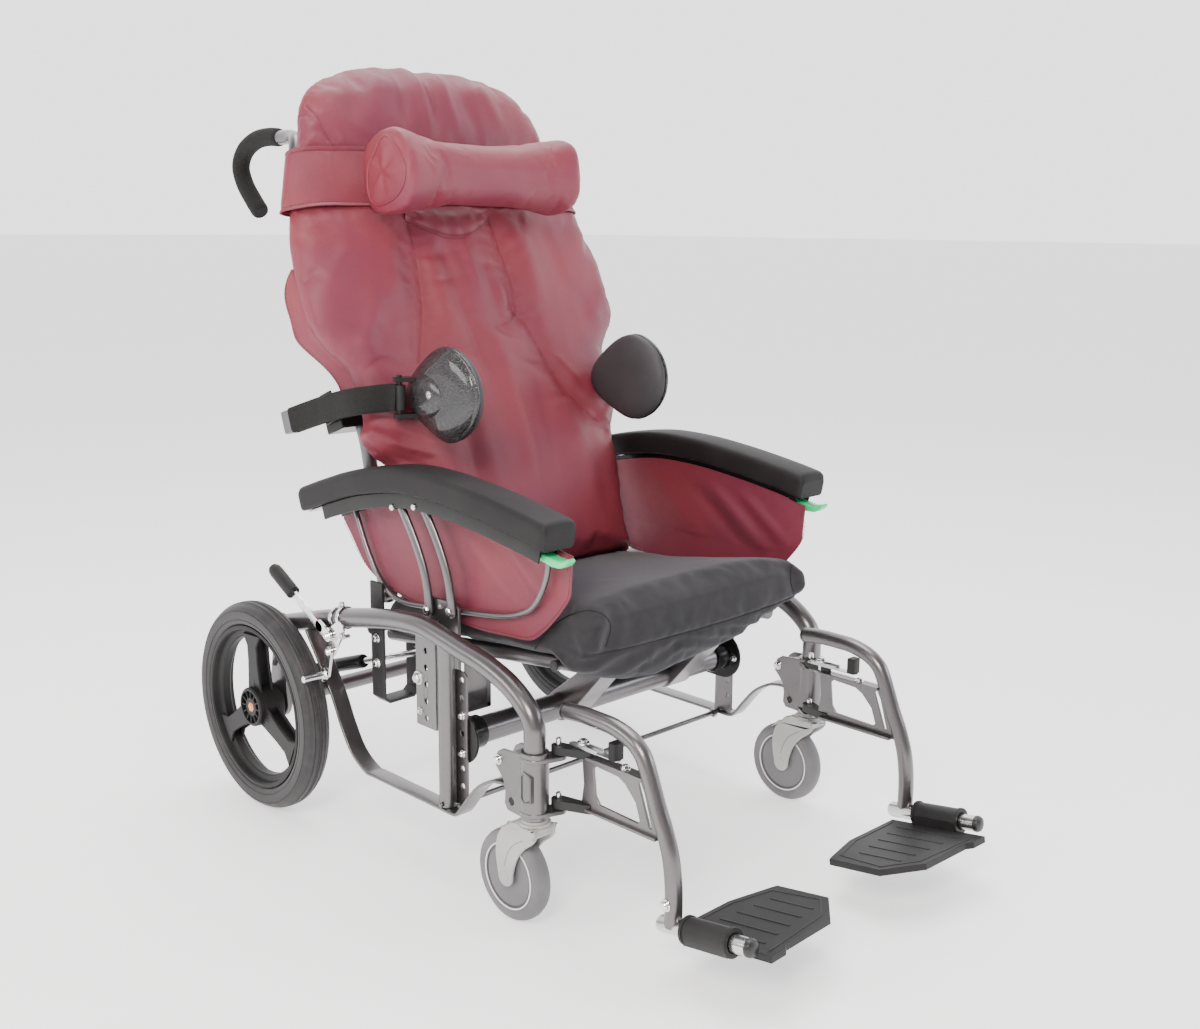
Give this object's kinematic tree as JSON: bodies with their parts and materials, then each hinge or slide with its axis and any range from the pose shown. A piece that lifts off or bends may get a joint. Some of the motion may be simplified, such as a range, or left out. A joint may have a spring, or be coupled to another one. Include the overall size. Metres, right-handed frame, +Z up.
{
  "type": "scoot chair",
  "caption": "Tilting wheelchair that is scooted by foot: tall reclining back with head roll and lateral supports, drop arms, swing-away leg rests, braked rear wheels and casters.",
  "frame": {"origin": "centre of the footprint's box, on the floor the wheels stand on", "axes": "+Z up, -Y the way the sitter faces, +X the sitter's left"},
  "size_m": [0.704, 1.184, 1.1421],
  "materials": {
    "grey_paint": "warm metallic grey, satin",
    "black_metal": "black, semi-gloss",
    "chrome": "bright plating",
    "tyre": "solid dark grey tyre",
    "caster_tyre": "light grey",
    "black_plastic": "moulded black",
    "pale_plastic": "moulded light grey",
    "moulded_pad": "skinned moulded foam, matt",
    "black_foam": "closed-cell foam",
    "vinyl": "burgundy coated cloth over foam",
    "cloth": "black stretch cloth over foam",
    "green_plastic": "bright green"
  },
  "bodies": {
    "base": {"rear_axle": "grey_paint", "lower_frame": "grey_paint", "frame_tube_left": "grey_paint", "post_left": "grey_paint", "caster_housing_left": "grey_paint", "height_rail_left": "grey_paint", "cross_tube_bracket_left": "black_metal", "brake_bracket_left": "chrome", "frame_tube_right": "grey_paint", "post_right": "grey_paint", "caster_housing_right": "grey_paint", "height_rail_right": "grey_paint", "cross_tube_bracket_right": "black_metal", "brake_bracket_right": "chrome"},
    "seat": {"seat_frame": "grey_paint", "seat_carrier_left": "grey_paint", "seat_carrier_right": "grey_paint", "seat_cushion": "cloth"},
    "back": {"back_frame": "grey_paint", "back_cushion": "vinyl", "head_roll": "vinyl", "head_strap": "vinyl", "push_grip_left": "black_foam", "lateral_arm_left": "black_foam", "push_grip_right": "black_foam", "lateral_arm_right": "black_foam"},
    "gas_cylinder": {"gas_cylinder": "black_metal"},
    "gas_rod": {"gas_rod": "chrome"},
    "rear_wheel_left": {"rear_tyre_left": "tyre", "rear_rim_left": "black_plastic"},
    "caster_fork_left": {"caster_fork_left": "pale_plastic"},
    "caster_wheel_left": {"caster_wheel_left": "caster_tyre"},
    "leg_rest_left": {"hanger_left": "grey_paint"},
    "leg_rest_latch_left": {"hanger_latch_left": "chrome"},
    "footplate_left": {"footplate_left": "black_plastic"},
    "brake_lever_left": {"brake_lever_left": "chrome"},
    "brake_shoe_left": {"brake_shoe_left": "chrome"},
    "arm_front_link_left": {"arm_link_front_left": "grey_paint"},
    "arm_rear_link_left": {"arm_link_rear_left": "grey_paint"},
    "arm_left": {"arm_pad_left": "moulded_pad", "arm_frame_left": "black_metal", "arm_panel_left": "vinyl"},
    "arm_lever_left": {"arm_lever_left": "green_plastic"},
    "lateral_pad_left": {"lateral_pad_left": "black_plastic"},
    "rear_wheel_right": {"rear_tyre_right": "tyre", "rear_rim_right": "black_plastic"},
    "caster_fork_right": {"caster_fork_right": "pale_plastic"},
    "caster_wheel_right": {"caster_wheel_right": "caster_tyre"},
    "leg_rest_right": {"hanger_right": "grey_paint"},
    "leg_rest_latch_right": {"hanger_latch_right": "chrome"},
    "footplate_right": {"footplate_right": "black_plastic"},
    "brake_lever_right": {"brake_lever_right": "chrome"},
    "brake_shoe_right": {"brake_shoe_right": "chrome"},
    "arm_front_link_right": {"arm_link_front_right": "grey_paint"},
    "arm_rear_link_right": {"arm_link_rear_right": "grey_paint"},
    "arm_right": {"arm_pad_right": "moulded_pad", "arm_frame_right": "black_metal", "arm_panel_right": "vinyl"},
    "arm_lever_right": {"arm_lever_right": "green_plastic"},
    "lateral_pad_right": {"lateral_pad_right": "black_plastic"}
  },
  "joints": [
    {"name": "seat_tilt", "type": "hinge", "parent": "base", "child": "seat", "pos_m": [0, -0.078, 0.213], "axis": [-1, 0, 0], "range_deg": [0, 10]},
    {"name": "back_recline", "type": "hinge", "parent": "seat", "child": "back", "pos_m": [0, 0.184, 0.35], "axis": [-1, 0, 0], "range_deg": [0, 25]},
    {"name": "gas_spring_swing", "type": "hinge", "parent": "base", "child": "gas_cylinder", "pos_m": [-0.218, 0.344, 0.198], "axis": [1, 0, 0], "range_deg": [0, 4]},
    {"name": "gas_rod_slide", "type": "slide", "parent": "gas_cylinder", "child": "gas_rod", "axis": [0, 0.9493, -0.3143], "range_m": [0, 0.019]},
    {"name": "rear_wheel_spin_left", "type": "hinge", "parent": "base", "child": "rear_wheel_left", "pos_m": [0.3275, 0.344, 0.163], "axis": [1, 0, 0], "continuous": true},
    {"name": "caster_swivel_left", "type": "hinge", "parent": "base", "child": "caster_fork_left", "pos_m": [0.287, -0.246, 0.154], "axis": [0, 0, 1], "continuous": true},
    {"name": "caster_wheel_spin_left", "type": "hinge", "parent": "caster_fork_left", "child": "caster_wheel_left", "pos_m": [0.287, -0.206, 0.0625], "axis": [1, 0, 0], "continuous": true},
    {"name": "leg_rest_swing_left", "type": "hinge", "parent": "base", "child": "leg_rest_left", "pos_m": [0.262, -0.264, 0.244], "axis": [0, 0, 1], "range_deg": [0, 80]},
    {"name": "leg_rest_latch_turn_left", "type": "hinge", "parent": "leg_rest_left", "child": "leg_rest_latch_left", "pos_m": [0.2475, -0.294, 0.2515], "axis": [0, 0, 1], "range_deg": [0, 18]},
    {"name": "footplate_flip_left", "type": "hinge", "parent": "leg_rest_left", "child": "footplate_left", "pos_m": [0.246, -0.51105, 0.07705], "axis": [0, 0.9877, -0.1564], "range_deg": [0, 90]},
    {"name": "brake_lever_turn_left", "type": "hinge", "parent": "base", "child": "brake_lever_left", "pos_m": [0.3089, 0.184, 0.305], "axis": [1, 0, 0], "range_deg": [0, 60]},
    {"name": "brake_shoe_turn_left", "type": "hinge", "parent": "base", "child": "brake_shoe_left", "pos_m": [0.3089, 0.182, 0.281], "axis": [1, 0, 0], "range_deg": [0, 10]},
    {"name": "arm_drop_left", "type": "hinge", "parent": "seat", "child": "arm_front_link_left", "pos_m": [0.2585, -0.045, 0.381], "axis": [1, 0, 0], "range_deg": [-45, 0]},
    {"name": "arm_rear_link_turn_left", "type": "hinge", "parent": "seat", "child": "arm_rear_link_left", "pos_m": [0.2585, 0.005, 0.373], "axis": [1, 0, 0], "range_deg": [-45, 0]},
    {"name": "arm_top_turn_left", "type": "hinge", "parent": "arm_front_link_left", "child": "arm_left", "pos_m": [0.2585, 0.016, 0.518], "axis": [1, 0, 0], "range_deg": [0, 45]},
    {"name": "arm_lever_squeeze_left", "type": "hinge", "parent": "arm_left", "child": "arm_lever_left", "pos_m": [0.2573, -0.233, 0.492], "axis": [-1, 0, 0], "range_deg": [0, 6], "stiffness_Nm_per_rad": 0.2, "springref_deg": -5.73},
    {"name": "lateral_swing_left", "type": "hinge", "parent": "back", "child": "lateral_pad_left", "pos_m": [0.222, 0.115, 0.655], "axis": [0, 0, 1], "range_deg": [0, 80]},
    {"name": "rear_wheel_spin_right", "type": "hinge", "parent": "base", "child": "rear_wheel_right", "pos_m": [-0.3275, 0.344, 0.163], "axis": [1, 0, 0], "continuous": true},
    {"name": "caster_swivel_right", "type": "hinge", "parent": "base", "child": "caster_fork_right", "pos_m": [-0.287, -0.246, 0.154], "axis": [0, 0, 1], "continuous": true},
    {"name": "caster_wheel_spin_right", "type": "hinge", "parent": "caster_fork_right", "child": "caster_wheel_right", "pos_m": [-0.287, -0.206, 0.0625], "axis": [1, 0, 0], "continuous": true},
    {"name": "leg_rest_swing_right", "type": "hinge", "parent": "base", "child": "leg_rest_right", "pos_m": [-0.262, -0.264, 0.244], "axis": [0, 0, -1], "range_deg": [0, 80]},
    {"name": "leg_rest_latch_turn_right", "type": "hinge", "parent": "leg_rest_right", "child": "leg_rest_latch_right", "pos_m": [-0.2475, -0.294, 0.2515], "axis": [0, 0, -1], "range_deg": [0, 18]},
    {"name": "footplate_flip_right", "type": "hinge", "parent": "leg_rest_right", "child": "footplate_right", "pos_m": [-0.246, -0.51105, 0.07705], "axis": [0, -0.9877, 0.1564], "range_deg": [0, 90]},
    {"name": "brake_lever_turn_right", "type": "hinge", "parent": "base", "child": "brake_lever_right", "pos_m": [-0.3089, 0.184, 0.305], "axis": [1, 0, 0], "range_deg": [0, 60]},
    {"name": "brake_shoe_turn_right", "type": "hinge", "parent": "base", "child": "brake_shoe_right", "pos_m": [-0.3089, 0.182, 0.281], "axis": [1, 0, 0], "range_deg": [0, 10]},
    {"name": "arm_drop_right", "type": "hinge", "parent": "seat", "child": "arm_front_link_right", "pos_m": [-0.2585, -0.045, 0.381], "axis": [1, 0, 0], "range_deg": [-45, 0]},
    {"name": "arm_rear_link_turn_right", "type": "hinge", "parent": "seat", "child": "arm_rear_link_right", "pos_m": [-0.2585, 0.005, 0.373], "axis": [1, 0, 0], "range_deg": [-45, 0]},
    {"name": "arm_top_turn_right", "type": "hinge", "parent": "arm_front_link_right", "child": "arm_right", "pos_m": [-0.2585, 0.016, 0.518], "axis": [1, 0, 0], "range_deg": [0, 45]},
    {"name": "arm_lever_squeeze_right", "type": "hinge", "parent": "arm_right", "child": "arm_lever_right", "pos_m": [-0.2573, -0.233, 0.492], "axis": [-1, 0, 0], "range_deg": [0, 6], "stiffness_Nm_per_rad": 0.2, "springref_deg": -5.73},
    {"name": "lateral_swing_right", "type": "hinge", "parent": "back", "child": "lateral_pad_right", "pos_m": [-0.222, 0.115, 0.655], "axis": [0, 0, -1], "range_deg": [0, 80]}
  ],
  "couplings": [
    {"joint": "gas_spring_swing", "follows": "seat_tilt", "ratio": 0.3823},
    {"joint": "gas_rod_slide", "follows": "seat_tilt", "m_per_rad": 0.1054},
    {"joint": "brake_shoe_turn_left", "follows": "brake_lever_turn_left", "ratio": 0.1666},
    {"joint": "arm_rear_link_turn_left", "follows": "arm_drop_left", "ratio": 1},
    {"joint": "arm_top_turn_left", "follows": "arm_drop_left", "ratio": -1},
    {"joint": "brake_shoe_turn_right", "follows": "brake_lever_turn_right", "ratio": 0.1666},
    {"joint": "arm_rear_link_turn_right", "follows": "arm_drop_right", "ratio": 1},
    {"joint": "arm_top_turn_right", "follows": "arm_drop_right", "ratio": -1}
  ]
}
